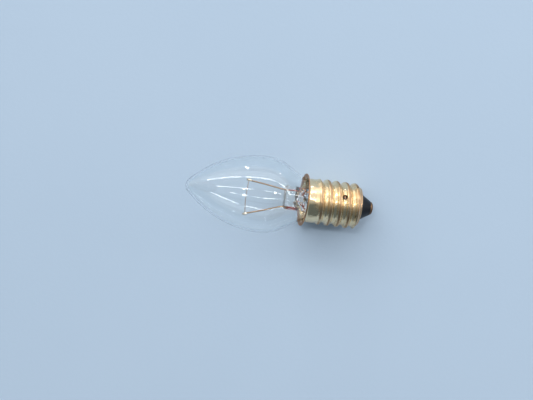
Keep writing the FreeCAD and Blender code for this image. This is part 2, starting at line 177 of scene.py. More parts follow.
def spread(tree, fac, low, high, to_low=0.0, to_high=1.0):
    """Stretches the part of a field between low and high over a new range."""
    return add_node(
        tree, "ShaderNodeMapRange", Value=fac, From_Min=low, From_Max=high, To_Min=to_low, To_Max=to_high
    ).outputs["Result"]


def blend_colours(tree, fac, first, second):
    """A colour between two others. Each is a colour or an output."""
    node = add_node(tree, "ShaderNodeMix", {"data_type": "RGBA"})
    for number, given in ((0, fac), (6, first), (7, second)):
        connect(tree, node.inputs[number], (*given, 1) if isinstance(given, tuple) else given)
    return node.outputs[2]


def calculate(tree, operation, *parts):
    """A Math node on fields or numbers."""
    node = add_node(tree, "ShaderNodeMath", {"operation": operation})
    for socket, given in zip(node.inputs, parts):
        connect(tree, socket, given)
    return node.outputs[0]


def raise_bumps(tree, shader, height, distance, strength=1.0):
    """Bumps of that height in metres on the shader's surface."""
    bump = add_node(tree, "ShaderNodeBump", Strength=strength, Distance=distance, Height=height)
    feed(tree, shader, Normal=bump.outputs["Normal"])


# %% [markdown]
# ## Floor and light
# Clear glass has no colour of its own and shows only what it reflects and bends, so the light is modelled
# as carefully as the lamp. Long narrow tubes of light over the lamp draw the thin streaks along the glass,
# one wide soft one adds a faint sheen beside them, and small round lamps make the points of light. All stand
# at one distance, and the camera doesn't see them. Their power follows from their area, so a wider tube draws
# a wider streak and not a brighter one.
#
# The world is a pale room, bright on the side that the lamp's upper edge faces in the picture and shaded on
# the other. It gives the brass one broad bright band and lets its near side roll off into shade. The floor
# is plain and pale, and just dark enough for white highlights to stand out.

# %% Colour view and world
scene = bpy.context.scene
scene.view_settings.view_transform = "Standard"
world = bpy.data.worlds.new("pale_room")
world.use_nodes = True
scene.world = world
sky = world.node_tree
sky_place = add_node(sky, "ShaderNodeTexCoord").outputs["Generated"]
sky_side = add_node(sky, "ShaderNodeSeparateXYZ", Vector=sky_place).outputs["Y"]
sky_ramp = add_node(sky, "ShaderNodeValToRGB", Fac=spread(sky, sky_side, -0.35, 0.25))
sky_ramp.color_ramp.elements[0].color = (0.12, 0.16, 0.20, 1)
sky_ramp.color_ramp.elements[1].color = (0.92, 0.93, 0.94, 1)
feed(sky, sky.nodes["Background"], Color=sky_ramp.outputs["Color"], Strength=1.0)
print("world:", world.name)

# %% Lights
def light_tube(name, lean, start, end, width, power):
    """A tube of light round the lamp, along its length. All three angles are seen from the lamp, in degrees:
    lean is how far it stands to the side, start and end are how far it reaches to the left and right."""
    middle = math.radians((start + end) / 2)
    tilt = math.radians(lean)
    aside = math.sin(tilt)
    upwards = math.cos(tilt)
    outwards = Vector((math.sin(middle), math.cos(middle) * aside, math.cos(middle) * upwards))
    along = Vector((math.cos(middle), -math.sin(middle) * aside, -math.sin(middle) * upwards))
    across = outwards.cross(along)
    bpy.ops.object.light_add(
        type="AREA",
        location=outwards * room_height + Vector((0, 0, axis_height)),
        rotation=Matrix((along, across, outwards)).transposed().to_euler(),
    )
    tube = bpy.context.object
    tube.name = name
    tube.data.shape = "RECTANGLE"
    tube.data.size = 2 * room_height * math.tan(math.radians((end - start) / 2))
    tube.data.size_y = width
    tube.data.energy = power * math.pi * tube.data.size * width
    tube.visible_camera = False


def small_lamp(name, direction, radius, glow):
    """A small round lamp in that direction from the bulb, for a point of light in the glass. Its glow is how
    bright its own surface is."""
    bpy.ops.object.light_add(type="POINT", location=Vector(direction).normalized() * room_height)
    lamp = bpy.context.object
    lamp.name = name
    lamp.data.shadow_soft_size = radius
    lamp.data.energy = glow * 4 * math.pi**2 * radius**2
    lamp.visible_camera = False


room_height = 0.75
light_tube("far_tube_left", 49, -50, -14, 0.046, 9.0)
light_tube("far_tube_middle", 49, -10, 29, 0.036, 9.0)
light_tube("far_tube_right", 49, 34.5, 80, 0.036, 9.0)
light_tube("near_tube_left", 11, -41, 0, 0.026, 9.0)
light_tube("near_tube_middle", 11, 12, 24, 0.026, 9.0)
light_tube("near_tube_right", 11, 42, 51, 0.026, 9.0)
light_tube("soft_window", 62, -55, 66, 0.25, 0.8)
small_lamp("star_left", (-0.16, 0.19, 1), 0.032, 45)
small_lamp("star_right", (0.66, 0.19, 1), 0.045, 24)
small_lamp("window_left", (-0.16, 1, 0.18), 0.014, 150)
small_lamp("window_left_low", (-0.20, 1, 0.04), 0.012, 110)
small_lamp("window_right", (0.55, 1, 0.04), 0.014, 150)

# %% [markdown]
# ## The floor
# A sheet of pale matte card. A bevel isn't needed, because its edges are far outside the picture.

# %% Make the floor
def card_finish():
    card, tree, shader, place = new_finish("pale_card")
    mottle = noise_field(tree, place, 14.0, detail=4.0)
    tint = blend_colours(tree, mottle, (0.43, 0.545, 0.675), (0.46, 0.575, 0.705))
    feed(tree, shader, Base_Color=tint, Roughness=0.85)
    raise_bumps(tree, shader, noise_field(tree, place, 900.0), 0.0001, 0.25)
    return card


bpy.ops.mesh.primitive_plane_add(size=6.0, location=(0, 0, 0))
floor = bpy.context.object
floor.name = "floor"
floor.data.materials.append(card_finish())
print("floor:", floor.data.materials[0].name)

# %% [markdown]
# ## Helpers for turned pieces
# Most of a lamp is turned or blown round one axis. By hand, such a piece is drawn as half an outline, point
# by point, and the Spin tool carries it round. A single vertex is the start: a tiny plane merged at its
# centre. Each extrude takes it to the next point, and spinning the line makes the skin. The start and end of
# the spin meet in a seam and the points on the axis lie on each other, so doubles are merged, and the
# normals are then recalculated to face outwards.

# %% Draw an outline and spin it
def arc_points(centre, radius, start, end, count):
    """Points on an arc from start to end, in degrees. Both ends are included."""
    points = []
    for step in range(count + 1):
        angle = math.radians(start + (end - start) * step / count)
        points.append((centre[0] + radius * math.cos(angle), centre[1] + radius * math.sin(angle)))
    return points


def line_points(start, end, count):
    """Points on a straight line. Its first point is left out, because the outline is already there."""
    points = []
    for step in range(1, count + 1):
        share = step / count
        points.append((start[0] + (end[0] - start[0]) * share, start[1] + (end[1] - start[1]) * share))
    return points


def named(name):
    """The object that was just added, with its name given to it and to its data."""
    piece = bpy.context.object
    piece.name = name
    piece.data.name = name
    return piece


def turned(name, outline, steps):
    """A piece spun from an outline of (radius, height) in millimetres."""
    bpy.ops.mesh.primitive_plane_add(size=MM, location=(0, 0, 0))
    piece = named(name)
    bpy.ops.object.mode_set(mode="EDIT")
    bpy.ops.mesh.merge(type="CENTER")
    here = (0.0, 0.0)
    for number, there in enumerate(outline):
        move = ((there[0] - here[0]) * MM, 0, (there[1] - here[1]) * MM)
        if number == 0:
            bpy.ops.transform.translate(value=move)
        else:
            bpy.ops.mesh.extrude_region_move(TRANSFORM_OT_translate={"value": move})
        here = there
    bpy.ops.mesh.select_all(action="SELECT")
    bpy.ops.mesh.spin(steps=steps, angle=2 * math.pi, center=(0, 0, 0), axis=(0, 0, 1))
    bpy.ops.mesh.select_all(action="SELECT")
    bpy.ops.mesh.remove_doubles(threshold=0.002 * MM)
    bpy.ops.mesh.normals_make_consistent(inside=False)
    bpy.ops.object.mode_set(mode="OBJECT")
    return piece


# %% [markdown]
# ## Finishing a piece
# The last moves are the same for every piece: smooth shading that keeps real edges sharp, its finish, the
# lying-down matrix applied to the mesh itself, the body that carries it, and the measured nodes that it
# stands for hidden. A piece whose two sides differ gets a finish for each.

# %% Finish and place a piece
def select_only(piece):
    bpy.ops.object.select_all(action="DESELECT")
    piece.select_set(True)
    bpy.context.view_layer.objects.active = piece


def finish_piece(piece, finish, slot, *nodes, edge_angle):
    """Smooths, paints and lays down an upright piece, in place of the measured nodes that it stands for."""
    select_only(piece)
    bpy.ops.object.shade_smooth_by_angle(angle=math.radians(edge_angle))
    piece.data.materials.clear()
    for layer in finish if isinstance(finish, tuple) else (finish,):
        piece.data.materials.append(layer)
    piece.data.transform(LIE_DOWN)
    piece.data.update()
    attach(piece, "root")
    if nodes:
        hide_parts(*nodes)
    print(piece.name, len(piece.data.polygons), "faces")
    return piece


def apply_modifier(piece, name, kind, **settings):
    """Adds a modifier to a piece and applies it."""
    select_only(piece)
    modifier = piece.modifiers.new(name, kind)
    for key, setting in settings.items():
        setattr(modifier, key, setting)
    bpy.ops.object.modifier_apply(modifier=name)


# %% [markdown]
# ## Clear glass
# Window-clear glass is a Principled shader with full transmission. The light bends at each of the four
# surfaces that it meets, so the wall needs a real thickness. Blown glass is never quite even: a slow noise,
# as a bump of a few hundredths of a millimetre, makes the streaks waver. The tint stays close to white,
# because the wall is thin.
#
# A path tracer treats glass as solid when it looks for a light, so it darkens what lies inside. A clear wall
# throws hardly any shadow, so the glass casts none. It is also hidden from the floor's diffuse rays, which
# would otherwise find light through it and draw a bright ring round the bulb.

# %% Glass finishes
def glass_finish(name, tint, waviness, patches):
    glass, tree, shader, place = new_finish(name)
    slow = noise_field(tree, place, patches, detail=1.5)
    quick = noise_field(tree, place, patches * 6, detail=2.0)
    raise_bumps(tree, shader, calculate(tree, "MULTIPLY_ADD", quick, 0.12, slow), waviness)
    colour = blend_colours(tree, slow, tint, tuple(min(1.0, part * 1.015) for part in tint))
    haze = spread(tree, noise_field(tree, place, patches * 2.5, detail=5.0), 0.45, 0.8, 0.0, 0.03)
    feed(tree, shader, Transmission_Weight=1.0, IOR=1.5, Base_Color=colour, Roughness=haze)
    return glass


def let_light_through(piece):
    piece.visible_shadow = False
    piece.visible_diffuse = False


clear_glass = glass_finish("clear_blown_glass", (0.975, 0.99, 0.985), 0.000025, 90.0)
stem_glass = glass_finish("pressed_stem_glass", (0.95, 0.965, 0.96), 0.0002, 420.0)
print("glass:", clear_glass.name, stem_glass.name)

# %% [markdown]
# ## The bulb
# The bulb is one blown piece. Its outline is a chain of arcs that touch: neck, cone, shoulder, long body and
# small tip. The inner wall is the same chain set inwards by the wall's thickness, which only changes each
# arc's radius and never its centre. Drawing both as one line, from the outer tip down round the neck's foot
# and back up to the inner tip, closes the wall without a separate Solidify step and keeps it exact.

# %% Outline of the bulb
bulb_radius = glass_high.y / MM
bulb_top = glass_high.z / MM
bulb_foot = glass_low.z / MM
bulb_wall = 0.6
tip_radius = 2.5
neck_radius = 5.6
neck_top = 17.3
neck_arc = 11.0
shoulder_arc = 12.0
cone_lean = 31.0
cone_rise = math.tan(math.radians(cone_lean))
cone_radius = bulb_radius - shoulder_arc * (1 - math.cos(math.radians(cone_lean)))
cone_foot = neck_top + neck_arc * math.tan(math.radians(cone_lean / 2))
cone_top = cone_foot + (cone_radius - neck_radius) / cone_rise
belly_height = cone_top + shoulder_arc * math.sin(math.radians(cone_lean))
tip_centre = bulb_top - tip_radius
body_rise = tip_centre - belly_height
body_arc = (body_rise**2 + bulb_radius**2 - tip_radius**2) / (2 * (bulb_radius - tip_radius))
tip_lean = math.degrees(math.atan2(body_rise, body_arc - bulb_radius))
print("belly at", round(belly_height, 2), "body arc", round(body_arc, 2))


def bulb_side(inset):
    """The bulb's side from its neck's foot to its tip, set in from the outer surface."""
    neck = [(neck_radius - inset, bulb_foot), (neck_radius - inset, neck_top - 1.5)]
    flow = arc_points((neck_radius + neck_arc, neck_top), neck_arc + inset, 180, 180 - cone_lean, 14)
    shoulder_centre = (bulb_radius - shoulder_arc, belly_height)
    shoulder = arc_points(shoulder_centre, shoulder_arc - inset, -cone_lean, 0, 24)
    body = arc_points((bulb_radius - body_arc, belly_height), body_arc - inset, 0, tip_lean, 52)
    tip = arc_points((0, tip_centre), tip_radius - inset, tip_lean, 90, 18)
    cone = line_points(flow[-1], shoulder[0], 5)[:-1]
    return neck + flow + cone + shoulder + body[1:] + tip[1:]


# %% Spin the bulb
bulb_outline = list(reversed(bulb_side(0))) + bulb_side(bulb_wall)
bulb = turned("blown_bulb", bulb_outline, steps=224)
finish_piece(bulb, clear_glass, "clear_glass", "glass_envelope", edge_angle=60)
let_light_through(bulb)

# %% [markdown]
# ## The stem
# The stem starts as a tube with a flared foot. While its top is soft, two jaws pinch it flat round the
# wires, and air blown up the exhaust tube leaves a small hole below the pinch. The model is made the same
# way: a spun tube, a cut by each jaw, a blow-hole, and a few bubbles that stay in the glass by the wires.
# Hot glass has no sharp edges, so a voxel remesh and a little smoothing round everything off together. Noise
# then moves the surface of the pinch, because jaws leave it uneven, and that is what makes it glitter.

# %% Spin the stem's tube
tube_radius = 3.6
tube_wall = 0.45
flare_reach = neck_radius - bulb_wall - tube_radius
press_top = stem_high.z / MM
press_height = 3.2
press_foot = press_top - press_height
flat_distance = 1.5
stem_foot = stem_low.z / MM
flare_top = bulb_foot + flare_reach
press_root = 2.7
hollow_top = press_foot - press_root
stem_outline = [
    (0, press_top),
    (tube_radius - 0.5, press_top),
    (tube_radius, press_top - 0.5),
    *line_points((tube_radius, press_top - 0.5), (tube_radius, flare_top), 8),
    *arc_points((tube_radius + flare_reach, flare_top), flare_reach, 180, 270, 8)[1:],
    (neck_radius, bulb_foot),
    (neck_radius, stem_foot),
    *arc_points((tube_radius + flare_reach, flare_top), flare_reach + tube_wall, 270, 180, 8),
    (tube_radius - tube_wall, hollow_top - 1.2),
    (tube_radius - 2 * tube_wall, hollow_top),
    (1.3, hollow_top + 1.2),
    (0.6, hollow_top + 1.9),
    (0, hollow_top + 2.1),
]
stem = turned("pinched_stem", stem_outline, steps=64)

# %% Pinch it with the jaws, blow the hole and leave the bubbles
def pick(piece, wanted):
    """Leaves a piece in Edit Mode with the wanted vertices selected."""
    select_only(piece)
    bpy.ops.object.mode_set(mode="EDIT")
    bpy.ops.mesh.select_mode(type="VERT")
    bpy.ops.mesh.select_all(action="DESELECT")
    bpy.ops.object.mode_set(mode="OBJECT")
    for vertex in piece.data.vertices:
        vertex.select = wanted(vertex.co)
    bpy.ops.object.mode_set(mode="EDIT")


def cut_away(piece, tool):
    """Subtracts a tool from a piece and removes the tool."""
    apply_modifier(piece, "cut", "BOOLEAN", operation="DIFFERENCE", solver="EXACT", object=tool)
    bpy.data.objects.remove(tool, do_unlink=True)


def jaw(side):
    """A block with a sloping lower face, beside the tube and past its top."""
    depth = 4.0
    width = 12
    past = 2
    slope_drop = 3.4
    bpy.ops.mesh.primitive_cube_add(size=1)
    block = bpy.context.object
    block.scale = (depth * MM, width * MM, (press_top - press_foot + past) * MM)
    block.location = (side * (flat_distance + depth / 2) * MM, 0, (press_foot + press_top + past) / 2 * MM)
    bpy.ops.object.transform_apply()
    pick(block, lambda co: co.z < press_foot * MM + 1e-6 and abs(co.x) > (flat_distance + 1) * MM)
    bpy.ops.transform.translate(value=(0, 0, -slope_drop * MM))
    bpy.ops.object.mode_set(mode="OBJECT")
    return block


for side in (-1, 1):
    cut_away(stem, jaw(side))

blow_hole_depth = 1.2
blow_hole_height = hollow_top + blow_hole_depth
bpy.ops.mesh.primitive_cone_add(
    vertices=24,
    radius1=0.55 * MM,
    radius2=1.15 * MM,
    depth=4 * MM,
    location=(2.2 * MM, 0, blow_hole_height * MM),
    rotation=(0, math.pi / 2, 0),
)
cut_away(stem, bpy.context.object)
print("stem cut:", len(stem.data.polygons), "faces")

# %% Round it off and make the pinch uneven
def with_normals(piece):
    """Each vertex of a piece with its normal, taken before any vertex moves."""
    return zip(piece.data.vertices, [vertex.normal.copy() for vertex in piece.data.vertices])


side_wire = 2.3
centre_wire = -2.85
bubble_count = 22
bubble_size = 0.16
for number in range(bubble_count):
    across = (side_wire, centre_wire, -0.3)[number % 3] + noise.noise((number * 3.1, 0.2, 0)) * 1.6
    rise = press_foot + 0.5 + (number * 0.618 % 1) * 2.0
    inside = noise.noise((0.7, number * 2.3, 0)) * 0.8
    bpy.ops.mesh.primitive_ico_sphere_add(
        subdivisions=2,
        radius=(bubble_size + 0.12 * abs(noise.noise((0, 0.4, number * 1.7)))) * MM,
        location=(inside * MM, across * MM, rise * MM),
    )
    bpy.ops.transform.resize(value=(1, 0.8, 1.6))
    cut_away(stem, bpy.context.object)

apply_modifier(stem, "melt", "REMESH", mode="VOXEL", voxel_size=0.13 * MM)
apply_modifier(stem, "soften", "SMOOTH", factor=0.5, iterations=5)
for vertex, normal in with_normals(stem):
    height = vertex.co.z / MM
    pinched = min(1.0, max(0.0, (height - press_foot + 1.0) / 1.2))
    lumps = noise.noise(vertex.co / MM * 0.9) * 0.16 + noise.noise(vertex.co / MM * 2.0) * 0.045
    vertex.co += normal * (lumps * pinched * MM)
    vertex.co.z = min(vertex.co.z, press_top * MM)
finish_piece(stem, stem_glass, "stem_glass", "stem_flare", edge_angle=80)
let_light_through(stem)

# %% [markdown]
# ## Metal finishes for the wires
# The inner wires were browned by the heat of the press and of the filament, so their colour drifts along
# them. The seals are copper-coated and look deep red through the glass, because the coat is an oxide there.
# The filament is tungsten, brown-grey from its heat, with a slightly rough drawn surface. The ends of the
# inner wires, where a tool squeezed them, are brighter.

# %% Wire finishes
def wire_finish(name, bright, dull, patches, smooth, rough):
    """A metal whose colour and gloss drift between two states."""
    wire, tree, shader, place = new_finish(name)
    drift = spread(tree, noise_field(tree, place, patches, detail=4.0), 0.35, 0.68)
    colour = blend_colours(tree, drift, bright, dull)
    feed(tree, shader, Metallic=1.0, Base_Color=colour, Roughness=spread(tree, drift, 0, 1, smooth, rough))
    raise_bumps(tree, shader, noise_field(tree, place, patches * 9), 0.00002, 0.5)
    return wire


browned_wire = wire_finish("heat_browned_wire", (0.44, 0.31, 0.20), (0.22, 0.14, 0.09), 260.0, 0.22, 0.5)
tinned_end = wire_finish("bright_crimped_end", (0.86, 0.80, 0.68), (0.62, 0.52, 0.38), 700.0, 0.18, 0.4)
red_seal = wire_finish("red_oxide_seal", (0.42, 0.06, 0.035), (0.24, 0.035, 0.02), 500.0, 0.25, 0.45)
bare_copper = wire_finish("bare_copper", (0.76, 0.42, 0.27), (0.42, 0.21, 0.12), 400.0, 0.25, 0.5)
drawn_tungsten = wire_finish("drawn_tungsten", (0.46, 0.33, 0.26), (0.28, 0.19, 0.15), 900.0, 0.3, 0.5)
print("finishes:", len(bpy.data.materials))

# %% [markdown]
# ## The inner wires
# Each inner wire rises from the press, leans outwards and folds over the end of the filament, where it is
# squeezed tight. A curve is the natural start for a wire: its control points are the places where it bends,
# and its bevel is its thickness. Each point has its own radius, so the squeezed fold can swell. The curve is
# then made a mesh, as a modeller does before placing it for good.

# %% Draw a wire as a curve
wire_radius = 0.22


def drawn_wire(name, points, swell):
    """A wire through control points in millimetres. swell gives each point's share of the radius."""
    bpy.ops.curve.primitive_nurbs_path_add(location=(0, 0, 0))
    wire = named(name)
    spline = wire.data.splines[0]
    spline.points.add(len(points) - len(spline.points))
    for point, place, share in zip(spline.points, points, swell):
        point.co = (*(Vector(place) * MM), 1)
        point.radius = share
    spline.order_u = 3
    spline.use_endpoint_u = True
    spline.resolution_u = 10
    wire.data.bevel_depth = wire_radius * MM
    wire.data.bevel_resolution = 2
    wire.data.use_fill_caps = True
    bpy.ops.object.convert(target="MESH")
    return bpy.context.object


# %% Bend the two inner wires over the filament
filament_stand = 11.3
filament_height = press_top + filament_stand
fold = 0.40
half_fold = Vector((fold, 0, 0))
seal_cover = 0.9
seal_top = press_top - seal_cover


def grip_place(offset, lean):
    """Where a leaning wire passes the filament's height, and the way that it runs there."""
    bend = Vector((0, offset, press_top + 0.6))
    turn = math.radians(lean)
    way = Vector((0, math.copysign(math.sin(turn), offset), math.cos(turn)))
    return bend, way, bend + way * ((filament_height - bend.z) / way.z)


def inner_wire(name, node, offset, lean, bow):
    """One inner wire with its fold. bow is how far its long run strays from straight."""
    bend, way, grip = grip_place(offset, lean)
    top = grip + way * fold * 1.35
    middle = (bend + grip) / 2 + Vector((bow, bow * 0.6, 0))
    points = [
        Vector((0, offset, seal_top)),
        Vector((0, offset, press_top - 0.2)),
        bend,
        bend + way * 0.8,
        middle,
        grip - way * 0.9,
        grip,
        top,
        top + 2 * half_fold,
        grip + 2 * half_fold,
        grip + 2 * half_fold - way * (fold + 0.15),
    ]
    swell = [1, 1, 1, 1, 0.97, 1.05, 1.1, 1.15, 1.15, 1.1, 1.0]
    wire = drawn_wire(name, points, swell)
    finish_piece(wire, browned_wire, "lead_wire", node, edge_angle=60)
    return grip


side_lean = 7.6
centre_lean = 18.0
side_grip = inner_wire("inner_wire_side", "inner_lead_side", side_wire, side_lean, 0.10)
centre_grip = inner_wire("inner_wire_centre", "inner_lead_centre", centre_wire, centre_lean, -0.12)
print("grips, mm:", [round(part, 2) for part in (*side_grip, *centre_grip)])

# %% [markdown]
# ## The crimps
# Where the fold is squeezed over the filament, the metal spreads into a small bright pad. It starts as a
# cube that is pressed thin and bevelled. Its mesh is then subdivided, so that noise can dent it and its
# waist can be drawn in like metal that was nipped in a tool.

# %% Squeeze a pad over each filament end
def stand_at(place, way):
    """The matrix that takes a piece to a place in millimetres, with its Z axis along a direction."""
    return Matrix.Translation(place * MM) @ Vector((0, 0, 1)).rotation_difference(way).to_matrix().to_4x4()


def crimp_pad(name, grip, way):
    bpy.ops.mesh.primitive_cube_add(size=1, location=(0, 0, 0))
    pad = named(name)
    pad.scale = (1.42 * MM, 0.66 * MM, 1.15 * MM)
    bpy.ops.object.transform_apply()
    bpy.ops.object.mode_set(mode="EDIT")
    bpy.ops.mesh.select_all(action="SELECT")
    bpy.ops.mesh.bevel(offset=0.17 * MM, segments=3)
    bpy.ops.mesh.subdivide(number_cuts=2)
    bpy.ops.object.mode_set(mode="OBJECT")
    for vertex, normal in with_normals(pad):
        dent = noise.noise(vertex.co / MM * 3.1 + grip) * 0.05
        waist = 1 - 0.25 * max(0.0, 1 - abs(vertex.co.z / MM) / 0.25)
        vertex.co = Vector((vertex.co.x, vertex.co.y * waist, vertex.co.z)) + normal * dent * MM
    pad.data.transform(stand_at(grip + half_fold, way))
    finish_piece(pad, tinned_end, "lead_wire", edge_angle=50)


crimp_pad("crimp_side", side_grip, grip_place(side_wire, side_lean)[1])
crimp_pad("crimp_centre", centre_grip, grip_place(centre_wire, centre_lean)[1])

# %% [markdown]
# ## The filament
# A filament is wire a few hundredths of a millimetre thick, wound into a long spring. The Screw modifier
# winds a spring by itself: a small ring beside the axis is carried round and up. One turn has few sides,
# because it is repeated over a hundred times. The straight spring is then bent onto the shallow arc between
# the two folds by moving its vertices, and its two open ends are filled.

# %% Wind the coil and bend it between the folds
coil_radius = 0.13
coil_wire = 0.036
coil_pitch = 0.105
coil_tail = 0.55
coil_rise = 0.35
coil_start = side_grip + half_fold
coil_end = centre_grip + half_fold
coil_span = (coil_end - coil_start).length + 2 * coil_tail
coil_turns = int(coil_span / coil_pitch)
bpy.ops.mesh.primitive_circle_add(
    vertices=5,
    radius=coil_wire * MM,
    location=((coil_radius - coil_wire) * MM, 0, 0),
    rotation=(math.pi / 2, 0, 0),
)
coil = named("tungsten_coil")
bpy.ops.object.transform_apply()
apply_modifier(
    coil,
    "wind",
    "SCREW",
    angle=2 * math.pi,
    screw_offset=coil_pitch * MM,
    iterations=coil_turns,
    steps=10,
    render_steps=10,
)
run = (coil_end - coil_start).normalized()
for vertex in coil.data.vertices:
    reach = vertex.co.z / MM - coil_tail
    share = reach / (coil_span - 2 * coil_tail)
    sag = 4 * coil_rise * share * (1 - share)
    side_step = Vector((0, -run.z, run.y)) * (vertex.co.x / MM)
    vertex.co = (coil_start + run * reach + Vector((vertex.co.y / MM, 0, sag)) + side_step) * MM
bpy.ops.object.mode_set(mode="EDIT")
bpy.ops.mesh.select_all(action="SELECT")
bpy.ops.mesh.fill_holes(sides=5)
bpy.ops.mesh.select_all(action="SELECT")
bpy.ops.mesh.normals_make_consistent(inside=False)
bpy.ops.object.mode_set(mode="OBJECT")
print("coil turns:", coil_turns)
finish_piece(coil, drawn_tungsten, "tungsten", "filament", edge_angle=80)

# %% [markdown]
# ## The measured wires that keep their shape
# The seals, the wires in the cap and the tube that the lamp was pumped through are plain round rods and a
# plain tube on the real lamp too, and the measured model already has them. They only need their finishes,
# which go into the material slots of their own objects.

# %% Paint the measured pieces
def paint(node, finish):
    """Gives a measured node a better finish, with its mesh left as it is."""
    mesh_object = frame["nodes"][node]
    if not mesh_object.material_slots:
        mesh_object.data.materials.append(finish)
    for slot in mesh_object.material_slots:
        slot.material = finish
    print(node, "has", finish.name)


for circuit in ("side", "centre"):
    paint("dumet_seal_" + circuit, red_seal)
    paint("outer_lead_" + circuit, bare_copper)
paint("exhaust_tube", stem_glass)

# %% [markdown]
# ## The screw shell
# The shell is thin brass sheet, rolled into a knuckle thread: round crests and round roots of one radius that
# flow into each other. A helix can be made by the Screw modifier, but the thread has to fade into the round
# skirt above and the curled foot below. So the shell is spun as a plain wall of thin rows, and each vertex is
# then moved out or in to the radius that the thread has at its height and angle.

# %% Radius of the thread at any height and angle
thread_pitch = 2.822
thread_depth = 0.8
crest_radius = 6.9
crest_flat = 0.02
first_crest = 5.6
root_radius = crest_radius - thread_depth
flank_arc = ((thread_pitch / 2) ** 2 + thread_depth**2) / (4 * thread_depth)
shell_wall = 0.25
shell_foot = shell_low.z / MM
foot_radius = 5.9
foot_round = 0.5
lip_radius = 4.4
foot_slope_top = 5.4
skirt_radius = 6.55
skirt_foot = 18.0
flange_radius = shell_high.y / MM
flange_top = shell_high.z / MM
flange_arc = 0.8
flange_foot = flange_top - shell_wall - flange_arc
groove_fade_foot = 15.2
groove_fade_top = 17.6
crest_fade_foot = 17.1


def thread_radius(height, turn):
    """The knuckle thread's radius. turn is the share of a full turn."""
    place = (height - first_crest) / thread_pitch - turn
    away = abs(place - round(place)) * thread_pitch
    if away < thread_pitch / 4:
        arc = crest_radius - flank_arc + math.sqrt(flank_arc**2 - away**2)
        return min(arc, crest_radius - crest_flat)
    valley = thread_pitch / 2 - away
    return root_radius + flank_arc - math.sqrt(flank_arc**2 - valley**2)


def between(height, low, high):
    return min(1.0, max(0.0, (height - low) / (high - low)))


def shell_radius(height, turn):
    """The threaded wall's radius between the foot's round and the skirt."""
    fade = between(height, groove_fade_foot, groove_fade_top)
    filled = root_radius - shell_wall + (skirt_radius - root_radius + shell_wall) * fade
    thread = max(thread_radius(height, turn), filled if fade > 0 else 0.0)
    narrow = between(height, crest_fade_foot, skirt_foot)
    ceiling = crest_radius - crest_flat + (skirt_radius - crest_radius + crest_flat) * narrow
    slope = foot_radius + (crest_radius - foot_radius) * between(
        height, shell_foot + foot_round, foot_slope_top
    )
    return min(thread, ceiling, slope)


# %% Draw up the shell
def axis_distance(vertex):
    """How far an upright vertex lies from the axis, in millimetres."""
    return math.hypot(vertex.co.x, vertex.co.y) / MM


def move_outwards(vertex, share):
    """Moves an upright vertex away from the axis, or towards it where the share is under 1."""
    vertex.co.x *= share
    vertex.co.y *= share


wall_rows = 150
wall_foot = shell_foot + foot_round
wall_step = (skirt_foot - wall_foot) / wall_rows
flange_face = flange_foot + flange_arc
shell_outline = [
    (lip_radius, shell_foot),
    (lip_radius + 0.5, shell_foot),
    *arc_points((foot_radius - foot_round, wall_foot), foot_round, -90, 0, 7),
    *[(foot_radius, wall_foot + wall_step * row) for row in range(1, wall_rows + 1)],
    *line_points((skirt_radius, skirt_foot), (skirt_radius, flange_foot), 10),
    *arc_points((skirt_radius + flange_arc, flange_foot), flange_arc, 180, 90, 7)[1:],
    *line_points((skirt_radius + flange_arc, flange_face), (flange_radius, flange_face), 4),
]
shell = turned("threaded_shell", shell_outline, steps=168)
rows_out = sum(polygon.normal.xy.dot(polygon.center.xy) for polygon in shell.data.polygons)
if rows_out < 0:
    shell.data.flip_normals()
print("the open sheet faced", "inwards" if rows_out < 0 else "outwards")
for vertex in shell.data.vertices:
    height = vertex.co.z / MM
    turn = math.atan2(vertex.co.y, vertex.co.x) / (2 * math.pi)
    if wall_foot + 1e-6 < height < skirt_foot + 1e-6:
        move_outwards(vertex, shell_radius(height, turn) / axis_distance(vertex))
print("shell skin:", len(shell.data.vertices), "vertices")

# %% [markdown]
# ## Small dents in the sheet
# Thin brass sheet remembers each time that it was pressed and gripped. The dents are a tenth of a millimetre
# deep at most and only go inwards, so the shell keeps its measured size. The skirt has more of them, because
# it has no thread to stiffen it. How high each vertex lies between root and crest is kept as an attribute, so
# that the finish can wear the ridges, and its height along the lamp as another.

# %% Dent the sheet and remember its ridges
ridges = shell.data.attributes.new("ridge", "FLOAT", "POINT")
heights = shell.data.attributes.new("along", "FLOAT", "POINT")
deepest = 0.0
for vertex in shell.data.vertices:
    height = vertex.co.z / MM
    radius = axis_distance(vertex)
    ridges.data[vertex.index].value = (radius - root_radius) / thread_depth
    heights.data[vertex.index].value = height
    if radius < root_radius - 0.5 or height > flange_foot:
        continue
    place = vertex.co / MM
    on_skirt = between(height, skirt_foot - 1, skirt_foot + 0.4)
    broad = max(0.0, noise.noise(place * 0.33 + Vector((3, 1, 4)))) * (0.05 + 0.10 * on_skirt)
    small = max(0.0, noise.noise(place * 0.95)) * (0.02 + 0.05 * on_skirt)
    move_outwards(vertex, 1 - (broad + small) / radius)
    deepest = max(deepest, broad + small)
print("deepest dent, mm:", round(deepest, 3))

# %% [markdown]
# ## Thickness and the hole
# Solidify gives the skin its thickness inwards, and its material offset puts the new inner face into a
# second slot, for a finish of its own. A cylinder then cuts the hole for the side wire. The cut leaves
# slivers at its edge, so vertices there that almost touch are merged, which keeps the mesh closed.

# %% Give the sheet its thickness
shell.data.materials.append(None)
shell.data.materials.append(None)
apply_modifier(
    shell,
    "sheet",
    "SOLIDIFY",
    thickness=shell_wall * MM,
    offset=-1.0,
    use_even_offset=False,
    material_offset=1,
    material_offset_rim=0,
)
print("shell wall:", len(shell.data.polygons), "faces")

